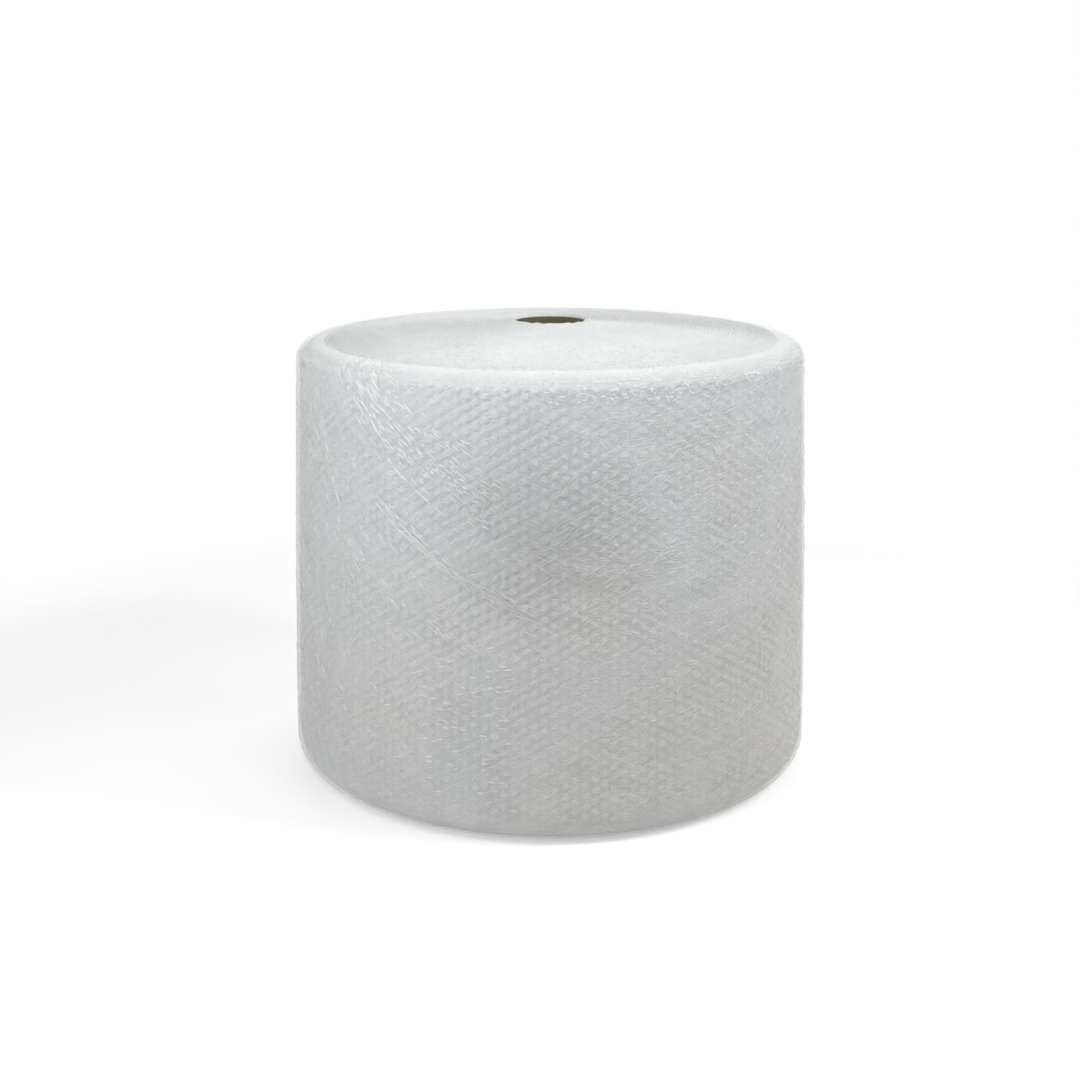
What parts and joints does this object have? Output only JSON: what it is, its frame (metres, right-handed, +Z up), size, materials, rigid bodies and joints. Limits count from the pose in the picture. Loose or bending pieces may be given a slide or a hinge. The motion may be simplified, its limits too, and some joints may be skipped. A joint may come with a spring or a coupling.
{
  "type": "bubble wrap roll",
  "caption": "Wide roll of clear small-bubble wrap wound on a cardboard tube, held by stretch film drawn over its side and rims, standing on its end.",
  "frame": {"origin": "middle of the base, on the surface that the roll stands on", "axes": "+Z up along the winding axis; -Y towards the viewer of the picture; +X to the viewer's right"},
  "size_m": [0.596, 0.596, 0.5177],
  "materials": {
    "bubble_film": "clear low-density polyethylene bubble film, white where many turns lie over each other",
    "core_board": "spiral-wound brown cardboard, matt",
    "clear_film": "clear stretch film with drawn wrinkles"
  },
  "bodies": {
    "root": {"bubble_wrap_roll": "bubble_film", "cardboard_core": "core_board", "stretch_film": "clear_film"}
  },
  "joints": []
}
